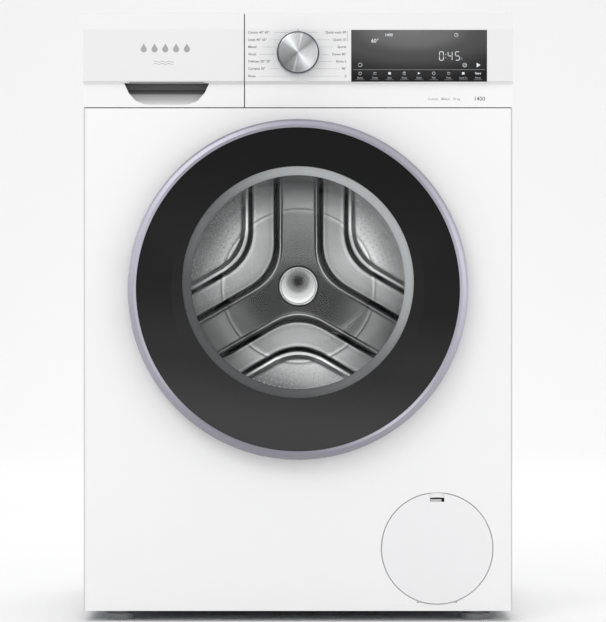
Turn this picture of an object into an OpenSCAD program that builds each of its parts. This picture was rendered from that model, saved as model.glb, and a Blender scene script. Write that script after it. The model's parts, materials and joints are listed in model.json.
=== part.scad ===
// Front load washing machine, free-standing.
// Origin on the floor under the middle of the machine.
// X to the right, Y to the back (the door faces -Y), Z up. Millimetres.

/* [Cabinet] */
// overall width
width = 598; // [550:1:650]
// overall height
height = 848; // [800:1:900]
// door front to the rear fittings
depth = 632; // [550:1:680]
// sheet thickness of the cabinet
sheet = 1; // [0.6:0.1:2]
// underside of the cabinet above the floor
ground_gap = 14; // [8:1:30]
// how far the door stands in front of the front sheet
door_proud = 42; // [20:1:60]

/* [Control panel] */
// height of the panel and drawer front
panel_h = 132; // [100:1:160]
// how far the fascia stands in front of the front sheet
fascia_proud = 10; // [4:1:20]
// seam between drawer front and panel
seam_x = -74.4; // [-120:0.1:-40]
// dial diameter
dial_d = 59; // [40:1:80]
// dial centre below the top
dial_drop = 57.7; // [40:0.1:80]
// display width
display_w = 189; // [120:1:220]
// display left edge
display_x = 74; // [60:1:120]

/* [Door] */
// outer diameter of the door ring
door_d = 472; // [420:1:500]
// height of the door centre
door_z = 462; // [440:1:480]
// diameter of the clear window
window_d = 320; // [280:1:340]
// height of the window centre
window_z = 472; // [450:1:490]
// depth of the glass bowl behind the door face
bowl_depth = 130; // [90:1:150]

/* [Drum and tub] */
// drum outer diameter
drum_d = 492; // [440:1:500]
// drum depth
drum_depth = 374; // [300:1:400]
// height of the drum axis
drum_z = 470; // [460:1:480]
// tub outer diameter
tub_d = 518; // [500:1:530]
// drum pulley diameter
pulley_d = 286; // [240:1:300]
// motor pulley diameter
motor_pulley_d = 22; // [18:1:30]

/* [Service flap] */
// flap diameter
flap_d = 154; // [120:1:170]
// flap centre, to the right
flap_x = 194; // [150:1:210]
// flap centre, above the floor
flap_z = 101; // [90:1:120]

/* [Feet] */
// foot pad diameter
foot_d = 40; // [30:1:50]
// foot stem diameter
stem_d = 10; // [8:1:12]

/* [Hidden] */
$fn = 72;
eps = 0.01;
half_w = width / 2;
front_y = -depth / 2 + door_proud;
face_y = front_y - fascia_proud;
rear_y = 308;
panel_z = height - panel_h - 1;
dial_z = height - dial_drop;
drum_front = -184;
drum_back = drum_front + drum_depth;
hinge_x = -224;
hinge_y = -294;
feet_x = 250;
feet_front = -230;
feet_back = 262;
spring_x = 245;
spring_y = 64;
latch_x = 209;
arm_angles = [30, 150, 270];
ring_r = door_d / 2;
bowl_back = bowl_depth - 300;
drum_r = drum_d / 2;
tub_r = tub_d / 2;
motor_x = -115;
motor_z = 125;
pump_z = 95;
sump_y = -215;
sump_z = 196;
bend = 24;
drain_x = 270;
inlet_x = -215;
mains_x = 225;
port_z = 795;
flange_r = 268;
bolt_r = 264;
cap_z = [560, 720];
cap_x = [-190, 190];
damper_x = 190;
damper_y = 60;

// cylinder along +Y, starting at y0
module rod(x, z, r, y0, y1) {
    translate([x, y0, z]) rotate([-90, 0, 0]) cylinder(r = r, h = y1 - y0);
}

// tube along +Y
module pipe(x, z, r_out, r_in, y0, y1) {
    difference() {
        rod(x, z, r_out, y0, y1);
        rod(x, z, r_in, y0 - 1, y1 + 1);
    }
}

// box from corner to corner
module slab(x0, x1, y0, y1, z0, z1) {
    translate([x0, y0, z0]) cube([x1 - x0, y1 - y0, z1 - z0]);
}

// turns a profile of [radius, y] points about the Y axis at x, z
module ring_about_y(x, z, points) {
    translate([x, 0, z]) rotate([-90, 0, 0]) rotate_extrude() polygon(points);
}

// straight round bar between two points
module bar(a, b, r) {
    d = b - a;
    len = norm(d);
    tilt = acos(d[2] / len);
    turn = atan2(d[1], d[0]);
    translate(a) rotate([0, tilt, turn]) cylinder(r = r, h = len);
}

module base_frame() {
    color("silver") difference() {
        union() {
            slab(-half_w + 1.5, half_w - 1.5, front_y + 13.5, rear_y - 1, ground_gap, ground_gap + 2);
            for (s = [-1, 1]) for (y = [feet_front, feet_back])
                translate([s * feet_x, y, ground_gap + 1]) cylinder(r = 14, h = 21);
            for (s = [-1, 1]) translate([s * damper_x, damper_y, ground_gap + 1]) cylinder(r = 22, h = 9);
            slab(-half_w + 3, half_w - 3, -200, -192, ground_gap + 1, ground_gap + 22);
            slab(-half_w + 3, half_w - 3, 280, 288, ground_gap + 1, ground_gap + 22);
        }
        for (s = [-1, 1]) for (y = [feet_front, feet_back])
            translate([s * feet_x, y, ground_gap - 1]) cylinder(r = stem_d / 2 + 0.1, h = 40);
    }
}

module side_panel(s) {
    x0 = s < 0 ? -half_w : half_w - sheet;
    slab(x0, x0 + sheet, front_y + 12.2, rear_y - sheet, ground_gap, height - 19.5);
    x1 = s < 0 ? -half_w + sheet - eps : half_w - 14;
    slab(x1, x1 + 13 + eps, rear_y - 2 * sheet, rear_y - sheet - 0.2, ground_gap + 22, height - 20);
    slab(x1, x1 + 13 + eps, front_y + 12.2, front_y + 13.2, ground_gap + 3, panel_z - 8);
}

module left_side_panel() {
    color("white") side_panel(-1);
}

module right_side_panel() {
    color("white") side_panel(1);
}

module rear_panel() {
    color("lightgray") difference() {
        slab(-half_w, half_w, rear_y - sheet, rear_y, ground_gap, height - 19.5);
        slab(-160, 160, rear_y - 5, rear_y + 5, 230, 690);
        rod(inlet_x, port_z, 15, rear_y - 5, rear_y + 5);
        rod(drain_x, pump_z, 14, rear_y - 5, rear_y + 5);
        rod(mains_x, port_z, 10, rear_y - 5, rear_y + 5);
        for (x = cap_x) for (z = cap_z) rod(x, z, 12, rear_y - 5, rear_y + 5);
        for (i = [0:9]) slab(-60 + i * 12, -54 + i * 12, rear_y - 5, rear_y + 5, 120, 170);
    }
}

module rear_cover() {
    color("lightgray") difference() {
        union() {
            slab(-172, 172, rear_y + 0.1, rear_y + 1.1, 218, 702);
            slab(-150, 150, rear_y + 0.1, rear_y + 6, 240, 680);
        }
        slab(-149, 149, rear_y - 1, rear_y + 5, 241, 679);
        for (x = [-166, 166]) for (z = [224, 460, 696]) rod(x, z, 2.2, rear_y - 2, rear_y + 9);
    }
}

// front sheet's outline with rounded upright edges, shrunk by w
module rounded_front(w, z0, z1) {
    slab(-half_w + 6, half_w - 6, front_y + w, front_y + 12 + w, z0, z1);
    slab(-half_w + w, half_w - w, front_y + 6, front_y + 12 + w, z0, z1);
    for (s = [-1, 1]) translate([s * (half_w - 6), front_y + 6, z0]) cylinder(r = 6 - w, h = z1 - z0);
}

module front_panel() {
    color("white") difference() {
        union() {
            difference() {
                rounded_front(0, ground_gap, panel_z - 0.4);
                rounded_front(sheet, ground_gap - 1, panel_z);
            }
            pipe(0, drum_z, 178, 176, front_y + 0.5, front_y + 16);
            slab(-half_w + 5, half_w - 5, front_y + 0.5, front_y + 10, panel_z - 1.4, panel_z - 0.4);
            pipe(flap_x, flap_z, 84, flap_d / 2 + 1.8, front_y + 0.5, front_y + 3.4);
            intersection() {
                pipe(flap_x, flap_z, 84, 71, front_y + 3.2, front_y + 4.4);
                slab(flap_x - 90, flap_x + 90, front_y, front_y + 9, 52, 190);
            }
        }
        rod(0, drum_z, 176, front_y - 2, front_y + 6);
        rod(flap_x, flap_z, flap_d / 2 + 1.6, front_y - 2, front_y + 2.9);
        slab(flap_x - 28, flap_x + 28, front_y - 2, front_y + 3.6, flap_z - flap_d / 2 + 1.3, flap_z - 70);
        for (s = [-1, 1]) slab(-216, -190, front_y - 2, front_y + 3,
            door_z + s * 35 - 15, door_z + s * 35 + 15);
        slab(latch_x - 12, latch_x + 12, front_y - 2, front_y + 3, door_z - 14, door_z + 14);
    }
}

module top_crossbars() {
    color("silver") for (y = [-246, 262]) difference() {
        slab(-half_w + 2, half_w - 2, y, y + 30, height - 24, height - 19);
        for (s = [-1, 1]) translate([s * 150, y + 15, height - 30]) cylinder(r = 4, h = 20);
    }
    color("silver") for (s = [-1, 1])
        slab(s * spring_x - 12, s * spring_x + 12, -216 + eps, 262 - eps, height - 22.5, height - 20);
}

module worktop_board() {
    color("white") slab(-half_w, half_w, front_y + 11, rear_y, height - 18, height);
}

// fascia shape from x0 to x1, grown inwards by w
module fascia(x0, x1, w) {
    z0 = height - 98;
    translate([x0, 0, 0]) rotate([90, 0, 90]) linear_extrude(height = x1 - x0)
        polygon([[front_y + w, panel_z + 1 + w], [front_y + w, z0 - 2 + w],
            [face_y + w, z0 + 2 + w], [face_y + w, height - 25], [face_y + 8 + w, height - w],
            [front_y + 10, height - w], [front_y + 10, panel_z + 1 + w]]);
}

// finger grip under the fascia, grown outwards by w
module grip(w) {
    low = panel_z + 4 - w;
    intersection() {
        translate([-183, front_y + 16 + w, 0]) rotate([90, 0, 0]) linear_extrude(height = 24 + w)
            polygon([[-60 - w, height - 97], [-53 - w, low + 17], [-43 - w, low + 6],
                [-31, low + 1], [-22, low], [22, low], [31, low + 1], [43 + w, low + 6],
                [53 + w, low + 17], [60 + w, height - 97]]);
        translate([-260, 0, 0]) rotate([90, 0, 90]) linear_extrude(height = 150)
            polygon([[front_y - 8, low - 1], [front_y, low], [front_y + 16 + w, low + 22],
                [front_y + 16 + w, height - 98.5 + w], [front_y - 8, height - 98.5 + w]]);
    }
    slab(-235 - w, -131 + w, front_y - 6.5, front_y + 8 + w, height - 108 - w, height - 80 + w);
}

module drawer_front() {
    color("whitesmoke") difference() {
        union() {
            difference() {
                intersection() {
                    fascia(-half_w, seam_x - 0.8, 0);
                    union() {
                        rod(-half_w + 8, height - 8, 8, face_y - 1, front_y + 12);
                        slab(-half_w, seam_x, face_y - 1, front_y + 12, panel_z, height - 8);
                        slab(-half_w + 8, seam_x, face_y - 1, front_y + 12, panel_z, height);
                    }
                }
                fascia(-half_w + 3, seam_x - 3, 3);
            }
            intersection() {
                grip(1.8);
                slab(-260, -100, front_y + 1, front_y + 24, panel_z + 1.2, height - 60);
            }
        }
        grip(0);
    }
}

module control_panel() {
    color("whitesmoke") difference() {
        intersection() {
            fascia(seam_x + 0.6, half_w, 0);
            union() {
                rod(half_w - 8, height - 8, 8, face_y - 1, front_y + 12);
                slab(seam_x, half_w, face_y - 1, front_y + 12, panel_z, height - 8);
                slab(seam_x, half_w - 8, face_y - 1, front_y + 12, panel_z, height);
            }
        }
        fascia(seam_x + 3, half_w - 3, 3);
        slab(display_x, display_x + display_w, face_y - 2, front_y + 5, height - 97, height - 25);
        rod(0, dial_z, 5, face_y - 2, front_y + 5);
    }
}

module display_window() {
    color([0.12, 0.12, 0.13]) slab(display_x + 0.2, display_x + display_w - 0.2,
        face_y - 0.1, face_y + 3.5, height - 96.8, height - 25.2);
}

module control_module() {
    color("dimgray") difference() {
        union() {
            slab(60, 285, front_y + 13, front_y + 50, height - 110, height - 27);
            rod(0, dial_z, 16, front_y + 13, front_y + 30);
            slab(14, 62, front_y + 14, front_y + 20, dial_z - 12, dial_z + 12);
        }
        rod(0, dial_z, 3.05, front_y + 5, front_y + 60);
    }
}

module dispenser_housing() {
    color("gainsboro") difference() {
        union() {
            slab(-288, -88, front_y + 20, 40, 747, 823.5);
            translate([-150, 20, 729]) cylinder(r = 17, h = 19);
        }
        slab(-286, -90, front_y + 19, 38, 749, 821.5);
        translate([-150, 20, 728]) cylinder(r = 14, h = 30);
        for (x = [inlet_x, inlet_x + 30]) rod(x, port_z, 5, 30, 50);
    }
}

module inlet_valve() {
    color("whitesmoke") {
        difference() {
            union() {
                rod(inlet_x, port_z, 13.2, 308, 316);
                rod(inlet_x, port_z, 14.5, 296, rear_y + 1);
                rod(inlet_x, port_z, 18, 270, 296.5);
                slab(inlet_x - 17, inlet_x + 47, 252, 271, port_z - 18, port_z + 18);
                for (x = [inlet_x, inlet_x + 30]) rod(x, port_z, 4.9, 240, 253);
            }
            rod(inlet_x, port_z, 9, 290, 318);
        }
    }
}

module valve_hoses() {
    color("black") for (x = [inlet_x, inlet_x + 30]) pipe(x, port_z, 7, 5, 40.1, 251);
}

module fill_hose() {
    color("black") translate([-150, 20, 0]) rotate_extrude()
        polygon([[17.2, 699], [17.2, 740], [20, 740], [20, 728], [23, 725], [20, 722],
            [23, 719], [20, 716], [23, 713], [20, 710], [20, 699]]);
}

module door_gasket() {
    color("slategray") {
        ring_about_y(0, drum_z, [[154, -263], [154, -260], [173, -252.5], [173, -257]]);
        ring_about_y(0, drum_z, [[172.5, -257.2], [186, -257.2], [186, -252], [172.5, -252]]);
        ring_about_y(0, drum_z, [[178.3, -266], [186, -266], [186, -253], [178.3, -253]]);
        ring_about_y(0, drum_z, [[173, -254], [178, -254], [194, -243], [190, -240]]);
        ring_about_y(0, drum_z, [[190, -244], [194, -244], [194, -232], [190, -232]]);
        ring_about_y(0, drum_z, [[190, -234], [194, -234], [184, -221], [180.3, -221]]);
        ring_about_y(0, drum_z, [[180.3, -225], [184, -225], [184, -206], [180.3, -206]]);
    }
}

module door_lock() {
    color("white") difference() {
        slab(latch_x - 12.5, latch_x + 20, front_y + 1.5, front_y + 36, door_z - 45, door_z + 45);
        slab(latch_x - 10, latch_x + 12, front_y, front_y + 30, door_z - 14, door_z + 14);
    }
}

module hinge_bracket() {
    color("silver") difference() {
        union() {
            slab(-217.5, -188, front_y + 1.2, front_y + 3.2, door_z - 60, door_z + 60);
            for (s = [-1, 1]) translate([hinge_x, hinge_y, door_z + s * 35 - 12]) {
                cylinder(r = 6, h = 24);
                rotate([0, 0, 38]) translate([0, -2.5, 0]) cube([33, 5, 24]);
            }
        }
        translate([hinge_x, hinge_y, door_z - 70]) cylinder(r = 3.05, h = 140);
        slab(-216, -190, front_y + 3.2, front_y + 9, door_z - 70, door_z + 70);
    }
}

module pump_housing() {
    color("whitesmoke") difference() {
        union() {
            rod(flap_x, pump_z, 42, front_y + 10, -188);
            rod(flap_x, pump_z, 29, -188.5, -160);
            bar([flap_x, sump_y, pump_z + 30], [flap_x, sump_y, 152], 20);
            bar([flap_x + 20, -175, pump_z], [251, -175, pump_z], 12);
            slab(flap_x - 30, flap_x + 30, -250, -201, ground_gap + 2.1, pump_z - 36);
        }
        rod(flap_x, pump_z, 38, front_y + 8, -191);
        rod(flap_x, pump_z, 25, -195, -163);
        rod(flap_x, pump_z, 2.55, -170, -150);
        bar([flap_x, sump_y, pump_z + 20], [flap_x, sump_y, 160], 17);
        bar([flap_x + 20, -175, pump_z], [265, -175, pump_z], 9);
    }
}

module pump_motor() {
    color("dimgray") difference() {
        union() {
            rod(flap_x, pump_z, 24, -159.8, -120);
            slab(flap_x - 28, flap_x + 28, -150, -125, pump_z - 5, pump_z + 35);
        }
        rod(flap_x, pump_z, 2.55, -170, -118);
    }
}

// route of the sump hose, at radius r, with its ends moved out by e
module sump_route(r, e) {
    translate([64 - e, -60, sump_z]) rotate([0, 90, 0]) cylinder(r = r, h = flap_x - bend - 64 + e);
    translate([flap_x - bend, -60 - bend, sump_z]) rotate_extrude(angle = 90) translate([bend, 0])
        circle(r = r);
    rod(flap_x, sump_z, r, sump_y + bend, -60 - bend);
    translate([flap_x, sump_y + bend, sump_z - bend]) rotate([0, 90, 0]) rotate([0, 0, 180])
        rotate_extrude(angle = 90) translate([bend, 0]) circle(r = r);
    translate([flap_x, sump_y, 138 - e]) cylinder(r = r, h = sump_z - bend - 138 + e);
}

module sump_hose() {
    color("black") difference() {
        sump_route(23, 0);
        sump_route(20.2, 2);
    }
}

// route of the inner drain hose, at radius r, with its ends moved out by e
module drain_route(r, e) {
    translate([240 - e, -175, pump_z]) rotate([0, 90, 0]) cylinder(r = r, h = drain_x - 258 + e);
    translate([drain_x - 18, -157, pump_z]) rotate([0, 0, 270]) rotate_extrude(angle = 90)
        translate([18, 0]) circle(r = r);
    rod(drain_x, pump_z, r, -157, 300 + e);
}

module drain_hose() {
    color("gray") difference() {
        drain_route(14.5, 0);
        drain_route(12.2, 2);
    }
    color("gray") difference() {
        union() {
            rod(drain_x, pump_z, 12.1, 285, 316);
            rod(drain_x, pump_z, 13.5, 300.2, rear_y + 1);
        }
        rod(drain_x, pump_z, 9, 280, 320);
    }
}

module mains_inlet() {
    color("black") difference() {
        union() {
            slab(mains_x - 25, mains_x + 25, 270, rear_y - 1.2, port_z - 20, port_z + 20);
            rod(mains_x, port_z, 9.8, 300, 314);
        }
        rod(mains_x, port_z, 4.5, 285, 318);
    }
}

module damper_tubes() {
    color("dimgray") for (s = [-1, 1]) translate([s * damper_x, damper_y, 0]) difference() {
        translate([0, 0, ground_gap + 10.1]) cylinder(r = 15, h = 120);
        translate([0, 0, ground_gap + 16]) cylinder(r = 11, h = 130);
    }
}

module transport_caps() {
    color("gray") for (x = cap_x) for (z = cap_z) {
        rod(x, z, 16, rear_y + 0.1, rear_y + 3);
        pipe(x, z, 11.8, 9, rear_y - 6, rear_y + 0.5);
    }
}

module tub_springs() {
    color("silver") for (s = [-1, 1]) translate([s * spring_x, spring_y, 0]) {
        rotate_extrude() difference() {
            union() {
                for (i = [0:19]) translate([10, 668 + i * 5]) circle(r = 3, $fn = 24);
                translate([8.5, 668]) square([3, 95]);
            }
            translate([-5, 600]) square([5, 300]);
        }
        translate([0, 0, 762]) cylinder(r = 11, h = 3);
        translate([0, 0, 764]) cylinder(r = 2.5, h = height - 22.6 - 764);
        translate([0, 0, 666]) cylinder(r = 11, h = 3);
        translate([0, 0, 648.2]) cylinder(r = 2.5, h = 19);
    }
}

module hinge_pocket(r) {
    for (s = [-1, 1]) translate([hinge_x, hinge_y - 2, door_z + s * 35 - 15])
        intersection() {
            cylinder(r = r, h = 30);
            translate([-r, -9, -1]) cube([2 * r, 2 * r, 40]);
        }
}

module door_ring() {
    color([0.67, 0.66, 0.72]) difference() {
        ring_about_y(0, door_z, [[ring_r - 11.8, -309], [ring_r - 8, -311], [ring_r - 3, -309.5],
            [ring_r, -304], [ring_r, -281], [ring_r - 2, -279], [ring_r - 3.5, -279],
            [ring_r - 3.5, -304], [ring_r - 11.8, -305.5]]);
        hinge_pocket(31);
    }
}

module door_cover() {
    color([0.08, 0.08, 0.09]) difference() {
        ring_about_y(0, door_z, [[140, -316], [175, -316], [ring_r - 12, -308.6], [ring_r - 12, -305.6],
            [175, -312.5], [140, -312.5]]);
        rod(0, window_z, window_d / 2, -320, -300);
    }
}

module door_frame() {
    color("whitesmoke") difference() {
        union() {
            difference() {
                rod(0, door_z, ring_r - 4, -303, -279);
                rod(0, door_z, ring_r - 8, -304, -282);
            }
            rod(0, window_z, window_d / 2 + 8, -312, -279);
            slab(160, ring_r - 7.5, -302, -279, door_z - 30, door_z + 30);
        }
        rod(0, window_z, window_d / 2 - 3, -320, -270);
        rod(0, window_z, window_d / 2 + 3.5, -301, -270);
        hinge_pocket(32);
        translate([hinge_x, hinge_y, door_z - 23]) cylinder(r = 9, h = 46);
        slab(-226, -183, -292, -270, door_z - 22, door_z + 22);
        slab(latch_x - 12, latch_x + 12, -300, -270, door_z - 12, door_z + 12);
    }
}

module glass_bowl() {
    color([0.55, 0.6, 0.62, 0.35]) difference() {
        union() {
            rod(0, window_z, window_d / 2 + 3, -300.5, -296);
            hull() {
                rod(0, window_z, 150, -297, -296);
                rod(0, window_z + 4, 146, -271, -270);
            }
            hull() {
                rod(0, window_z + 4, 146, -271, -270);
                rod(1.5, window_z + 21, 116, bowl_back - 8, bowl_back);
            }
        }
        hull() {
            rod(0, window_z, 146, -301, -300);
            rod(0, window_z + 4, 142, -271, -270);
        }
        hull() {
            rod(0, window_z + 4, 142, -271, -270);
            rod(1.5, window_z + 21, 112, bowl_back - 6, bowl_back - 5);
        }
    }
}

module hinge_leaf() {
    color("silver") {
        translate([hinge_x, hinge_y, door_z - 22]) cylinder(r = 6, h = 44);
        translate([hinge_x, hinge_y, door_z - 50]) cylinder(r = 3, h = 100);
        slab(hinge_x, -184, -291.5, -288, door_z - 20, door_z + 20);
    }
}

module latch_hook() {
    color("silver") {
        slab(latch_x - 3, latch_x + 3, -298, -250, door_z - 8, door_z + 8);
        slab(latch_x - 3, latch_x + 9, -254, -250, door_z - 8, door_z + 8);
        translate([latch_x, -292, door_z - 11]) cylinder(r = 3, h = 22);
    }
}

module drawer_tray() {
    color("whitesmoke") difference() {
        slab(-284, -92, front_y + 10.1, 20, 751, 812);
        slab(-281, -222, front_y + 13, 17, 754, 815);
        slab(-219, -155, front_y + 13, 17, 754, 815);
        slab(-152, -95, front_y + 13, 17, 754, 815);
    }
}

module softener_siphon() {
    color("lightblue") {
        slab(-217.5, -156.5, -60, -58, 754.1, 802);
        difference() {
            translate([-187, -30, 754.1]) cylinder(r = 12, h = 46);
            translate([-187, -30, 753]) cylinder(r = 9, h = 44);
        }
        slab(-217.5, -156.5, -58.1, -38, 798, 800);
    }
}

module program_dial() {
    color("lightsteelblue") {
        ring_about_y(0, dial_z, [[0, face_y - 22], [26, face_y - 22], [dial_d / 2 - 0.8, face_y - 19],
            [dial_d / 2, face_y - 1], [26, face_y - 1], [26, face_y - 16], [0, face_y - 16]]);
        rod(0, dial_z, 3, face_y - 17, front_y + 28);
    }
}

module service_flap() {
    color("white") difference() {
        union() {
            rod(flap_x, flap_z, flap_d / 2, front_y, front_y + 2.5);
            for (s = [-1, 1]) slab(flap_x + s * 50 - 2, flap_x + s * 50 + 2, front_y + 2, front_y + 8,
                flap_z - 20, flap_z + 20);
        }
        slab(flap_x - 10, flap_x + 10, front_y - 1, front_y + 4, flap_z + 65, flap_z + 80);
        translate([flap_x - 30, front_y + 1.25, flap_z - 74]) rotate([0, 90, 0]) cylinder(r = 0.7, h = 60);
    }
}

module pump_filter() {
    color("dimgray") {
        rod(flap_x, pump_z, 37, -262, -256);
        slab(flap_x - 26, flap_x + 26, -267, -261, pump_z - 4, pump_z + 4);
        difference() {
            pipe(flap_x, pump_z, 30, 27, -256.5, -200);
            for (a = [0:45:135]) translate([flap_x, -215, pump_z]) rotate([0, a, 0])
                cube([70, 24, 8], center = true);
        }
    }
}

module pump_impeller() {
    color("black") {
        rod(flap_x, pump_z, 2.5, -188, -122);
        rod(flap_x, pump_z, 6, -186, -170);
        for (a = [0, 90]) translate([flap_x, -178, pump_z]) rotate([0, a, 0])
            cube([44, 14, 3], center = true);
    }
}

module tub_front() {
    color("lightgray") difference() {
        union() {
            ring_about_y(0, drum_z, [[176, -224], [180, -224], [180, -202], [tub_r, -200], [tub_r, -108],
                [flange_r, -108], [flange_r, -98], [tub_r - 3, -98], [tub_r - 3, -196], [176, -196]]);
            for (a = [15:30:345]) rotate_about_drum(a) slab(184, 255, -204, -199, -1.5, 1.5);
        }
        for (a = [0:30:330]) rotate_about_drum(a) rod(bolt_r, 0, 2.6, -112, -90);
    }
}

module rotate_about_drum(a) {
    translate([0, 0, drum_z]) rotate([0, a, 0]) children();
}

module tub_rear() {
    color("lightgray") difference() {
        union() {
            ring_about_y(0, drum_z, [[tub_r - 3, -97.9], [flange_r, -97.9], [flange_r, -88], [tub_r, -88],
                [tub_r, 216], [40, 216], [40, 275], [31.2, 275], [31.2, 212], [tub_r - 3, 212]]);
            for (a = [0:30:330]) rotate_about_drum(a) slab(39, 250, 215, 230, -1.5, 1.5);
            slab(-60, 60, -70, 213, 176, 224);
            translate([-150, 20, 672]) cylinder(r = 17, h = 37);
            bar([50, -60, sump_z], [104, -60, sump_z], 20);
            for (x = [-158, -82]) slab(x - 6, x + 6, 160, 205, 140, 262);
            for (s = [-1, 1]) slab(s > 0 ? 200 : -spring_x - 14, s > 0 ? spring_x + 14 : -200,
                spring_y - 14, spring_y + 14, 610, 648);
            for (s = [-1, 1]) slab(s * damper_x - 14, s * damper_x + 14,
                damper_y - 14, damper_y + 14, 250, 310);
        }
        rod(0, drum_z, tub_r - 3, -80, 212);
        slab(-56, 56, -66, 209, 180, 300);
        translate([-150, 20, 660]) cylinder(r = 14, h = 60);
        bar([40, -60, sump_z], [110, -60, sump_z], 17);
        rod(motor_x, motor_z, 62.1, 100, 300);
        for (a = [0:30:330]) rotate_about_drum(a) rod(bolt_r, 0, 2.6, -112, -84);
        for (x = [-25, 25]) rod(x, 197, 4.1, 200, 240);
    }
}

module front_weight() {
    color("darkgray") difference() {
        pipe(0, drum_z, 250, 200, -236, -205);
        slab(-70, 70, -240, -200, 200, 320);
    }
}

module top_weight() {
    color("darkgray") difference() {
        slab(-65, 130, -80, 120, 700, 798);
        rod(0, drum_z, flange_r + 0.5, -120, 300);
    }
}

module heater() {
    color("silver") {
        for (x = [-25, 25]) rod(x, 197, 4, -20, 236);
        translate([0, -20, 197]) rotate([0, 0, 180]) rotate_extrude(angle = 180)
            translate([25, 0]) circle(r = 4, $fn = 24);
        difference() {
            slab(-40, 40, 216.1, 222, 184, 210);
            for (x = [-25, 25]) rod(x, 197, 3.9, 210, 230);
        }
    }
}

module motor_housing() {
    color("dimgray") difference() {
        rod(motor_x, motor_z, 62, 150, 262);
        rod(motor_x, motor_z, 58, 154, 258);
        rod(motor_x, motor_z, 8.05, 140, 270);
    }
    color("peru") pipe(motor_x, motor_z, 57.9, 42, 170, 240);
}

module damper_rods() {
    color("silver") for (s = [-1, 1]) translate([s * damper_x, damper_y, 0]) {
        translate([0, 0, 90]) cylinder(r = 6, h = 160);
        translate([0, 0, 90]) cylinder(r = 10.9, h = 22);
    }
}

module bearings() {
    color("silver") {
        pipe(0, drum_z, 31.1, 15.05, 218, 234);
        pipe(0, drum_z, 31.1, 15.05, 256, 271);
    }
}

module drive_belt() {
    r1 = pulley_d / 2 + 0.3;
    r2 = motor_pulley_d / 2 + 0.3;
    dx = motor_x;
    dz = motor_z - drum_z;
    span = sqrt(dx * dx + dz * dz);
    slope = asin((r1 - r2) / span);
    lean = atan2(dx, dz);
    flat = span * cos(slope);
    color([0.1, 0.1, 0.1]) translate([0, 282, drum_z]) rotate([0, lean, 0]) rotate([-90, 0, 0]) {
        // belt drawn with the motor along -Y of this frame
        rotate([0, 0, -slope]) rotate_extrude(angle = 180 + 2 * slope)
            translate([r1, 0]) square([3, 15]);
        for (m = [0, 1]) mirror([m, 0, 0]) rotate([0, 0, -slope])
            translate([r1, -flat - 0.5, 0]) cube([3, flat + 1, 15]);
        translate([0, -span, 0]) rotate([0, 0, 180 + slope]) rotate_extrude(angle = 180 - 2 * slope)
            translate([r2, 0]) square([3, 15]);
    }
}

module drum_shell() {
    color("silver") ring_about_y(0, drum_z, [[168, drum_front], [drum_r, drum_front],
        [drum_r, drum_back - 0.5], [drum_r - 1.2, drum_back - 0.5],
        [drum_r - 1.2, drum_front + 1.2], [170, drum_front + 1.2],
        [170, drum_front + 6], [168, drum_front + 6]]);
}

module drum_rear() {
    color("silver") difference() {
        union() {
            rod(0, drum_z, drum_r - 1.3, drum_back - 2, drum_back - 0.5);
            for (a = arm_angles) rotate_about_drum(a) slab(0, 212, 176, drum_back - 1, -29, 29);
            rod(0, drum_z, 46, 176, drum_back - 1);
        }
        for (a = arm_angles) rotate_about_drum(a) slab(-1, 210.5, 177.5, drum_back + 1, -27.5, 27.5);
        rod(0, drum_z, 44.5, 177.5, drum_back + 1);
    }
}

module drum_lifters() {
    color("gainsboro") for (a = arm_angles) rotate_about_drum(a + 60)
        translate([0, 150, 0]) rotate([90, 0, 0]) linear_extrude(height = 300)
            polygon([[240.5, -30], [214, -13], [206, -5], [206, 5], [214, 13], [240.5, 30]]);
}

module hub_cap() {
    color("silver") ring_about_y(0, drum_z,
        [[0, 171], [12, 169.5], [27, 167], [30, 169], [30, 175.9], [0, 175.9]]);
}

module drum_spider() {
    color("darkgray") {
        rod(0, drum_z, 40, 178.5, 203);
        for (a = arm_angles) rotate_about_drum(a) slab(30, 206, 179, 197, -20, 20);
        rod(0, drum_z, 15, 200, 282);
        rod(0, drum_z, 10, 281, 301);
    }
}

module drum_pulley() {
    color("silver") difference() {
        union() {
            pipe(0, drum_z, pulley_d / 2, pulley_d / 2 - 6, 281, 298);
            rod(0, drum_z, pulley_d / 2 - 5, 288, 292);
            rod(0, drum_z, 24, 282.1, 299);
        }
        rod(0, drum_z, 10.05, 270, 310);
        for (a = [0:60:300]) rotate_about_drum(a) rod(85, 0, 30, 280, 300);
    }
}

module motor_rotor() {
    color("silver") {
        rod(motor_x, motor_z, 8, 142, 300);
        rod(motor_x, motor_z, 40, 170, 240);
        rod(motor_x, motor_z, motor_pulley_d / 2, 281, 298);
    }
}

module foot(x, y) {
    color("dimgray") translate([x, y, 0]) {
        cylinder(r = foot_d / 2, h = 8);
        cylinder(r = foot_d / 2 - 6, h = 12);
    }
    color("silver") translate([x, y, 5]) cylinder(r = stem_d / 2, h = 38);
}

module foot_front_left() {
    foot(-feet_x, feet_front);
}

module foot_front_right() {
    foot(feet_x, feet_front);
}

module foot_rear_left() {
    foot(-feet_x, feet_back);
}

module foot_rear_right() {
    foot(feet_x, feet_back);
}

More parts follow.
